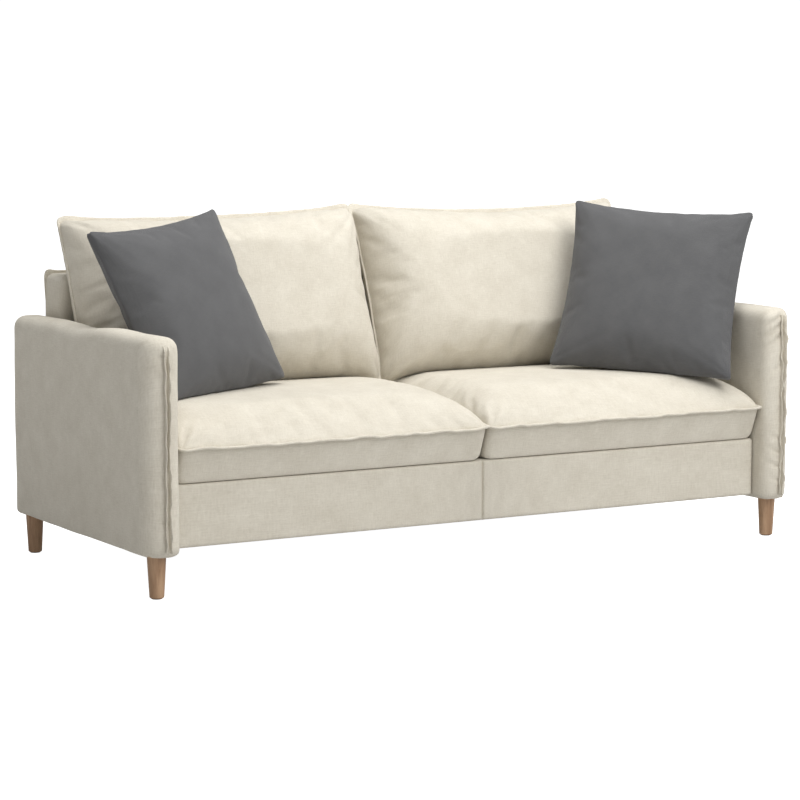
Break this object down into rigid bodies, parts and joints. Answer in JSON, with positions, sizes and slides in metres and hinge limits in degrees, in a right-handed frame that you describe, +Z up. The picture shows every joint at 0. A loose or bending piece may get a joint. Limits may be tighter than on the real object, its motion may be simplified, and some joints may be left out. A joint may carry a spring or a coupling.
{
  "type": "sofa",
  "caption": "Upholstered sofa with slim arms, loose crowned seat and back cushions, throw pillows and round tapered wooden legs.",
  "frame": {"origin": "on the floor, under the middle of the sofa's overall box", "axes": "+Z up, -Y towards the front of the seat, +X to the right as seen from the front, along the sofa's length"},
  "size_m": [1.7809, 0.78, 0.8402],
  "materials": {
    "cream_cloth": "matte",
    "grey_cloth": "matte",
    "leg_wood": "satin",
    "frame_timber": "matte",
    "plywood": "matte",
    "elastic_webbing": "matte",
    "felt": "matte",
    "dust_cloth": "matte",
    "foam": "matte",
    "fibre_fill": "matte",
    "zinc_steel": "satin",
    "insert_brass": "satin",
    "glide_felt": "matte",
    "zip_tape": "matte",
    "zip_metal": "satin"
  },
  "bodies": {
    "sofa_frame": {"front_rail": "frame_timber", "rear_rail": "frame_timber", "side_rail_left": "frame_timber", "side_rail_right": "frame_timber", "centre_bearer": "frame_timber", "corner_blocks": "frame_timber", "seat_straps": "elastic_webbing", "cross_straps": "elastic_webbing", "deck_felt": "felt", "deck_cloth": "cream_cloth", "front_border_foam": "foam", "front_border_cover": "cream_cloth", "rear_border_cover": "cream_cloth", "dust_cover": "dust_cloth", "arm_posts_left": "frame_timber", "arm_posts_right": "frame_timber", "arm_rails_left": "frame_timber", "arm_rails_right": "frame_timber", "arm_panels_left": "plywood", "arm_panels_right": "plywood", "arm_foam_left": "foam", "arm_foam_right": "foam", "arm_cover_left": "cream_cloth", "arm_cover_right": "cream_cloth", "back_posts": "frame_timber", "back_rails": "frame_timber", "back_straps": "elastic_webbing", "back_panel": "plywood", "back_foam": "foam", "back_cover": "cream_cloth", "leg_front_left": "leg_wood", "leg_front_right": "leg_wood", "leg_back_left": "leg_wood", "leg_back_right": "leg_wood", "leg_bolts": "zinc_steel", "leg_nuts": "zinc_steel", "leg_glides": "glide_felt", "frame_bolts": "zinc_steel", "frame_washers": "zinc_steel", "frame_inserts": "insert_brass"},
    "seat_cushion_left": {"seat_cover_left": "cream_cloth", "seat_foam_left": "foam", "seat_zip_left": "zip_tape"},
    "seat_cushion_right": {"seat_cover_right": "cream_cloth", "seat_foam_right": "foam", "seat_zip_right": "zip_tape"},
    "back_cushion_left": {"back_cushion_cover_left": "cream_cloth", "back_cushion_fill_left": "fibre_fill", "back_zip_left": "zip_tape"},
    "back_cushion_right": {"back_cushion_cover_right": "cream_cloth", "back_cushion_fill_right": "fibre_fill", "back_zip_right": "zip_tape"},
    "throw_pillow_left": {"pillow_cover_left": "grey_cloth", "pillow_fill_left": "fibre_fill"},
    "throw_pillow_right": {"pillow_cover_right": "grey_cloth", "pillow_fill_right": "fibre_fill"},
    "seat_slider_left": {"seat_slider_left": "zip_metal"},
    "seat_slider_right": {"seat_slider_right": "zip_metal"},
    "back_slider_left": {"back_slider_left": "zip_metal"},
    "back_slider_right": {"back_slider_right": "zip_metal"}
  },
  "joints": [
    {"name": "seat_cushion_left_slide", "type": "slide", "parent": "sofa_frame", "child": "seat_cushion_left", "axis": [0, -1, 0], "range_m": [0, 0.66]},
    {"name": "back_cushion_left_lift", "type": "slide", "parent": "seat_cushion_left", "child": "back_cushion_left", "axis": [0, 0, 1], "range_m": [0, 0.45]},
    {"name": "throw_pillow_left_lift", "type": "slide", "parent": "back_cushion_left", "child": "throw_pillow_left", "axis": [0, -0.6, 0.8], "range_m": [0, 0.4]},
    {"name": "seat_slider_left_run", "type": "slide", "parent": "seat_cushion_left", "child": "seat_slider_left", "axis": [1, 0, 0], "range_m": [0, 0.58]},
    {"name": "back_slider_left_run", "type": "slide", "parent": "back_cushion_left", "child": "back_slider_left", "axis": [1, 0, 0], "range_m": [0, 0.58]},
    {"name": "seat_cushion_right_slide", "type": "slide", "parent": "sofa_frame", "child": "seat_cushion_right", "axis": [0, -1, 0], "range_m": [0, 0.66]},
    {"name": "back_cushion_right_lift", "type": "slide", "parent": "seat_cushion_right", "child": "back_cushion_right", "axis": [0, 0, 1], "range_m": [0, 0.45]},
    {"name": "throw_pillow_right_lift", "type": "slide", "parent": "back_cushion_right", "child": "throw_pillow_right", "axis": [0, -0.6, 0.8], "range_m": [0, 0.4]},
    {"name": "seat_slider_right_run", "type": "slide", "parent": "seat_cushion_right", "child": "seat_slider_right", "axis": [-1, 0, 0], "range_m": [0, 0.58]},
    {"name": "back_slider_right_run", "type": "slide", "parent": "back_cushion_right", "child": "back_slider_right", "axis": [-1, 0, 0], "range_m": [0, 0.58]}
  ]
}
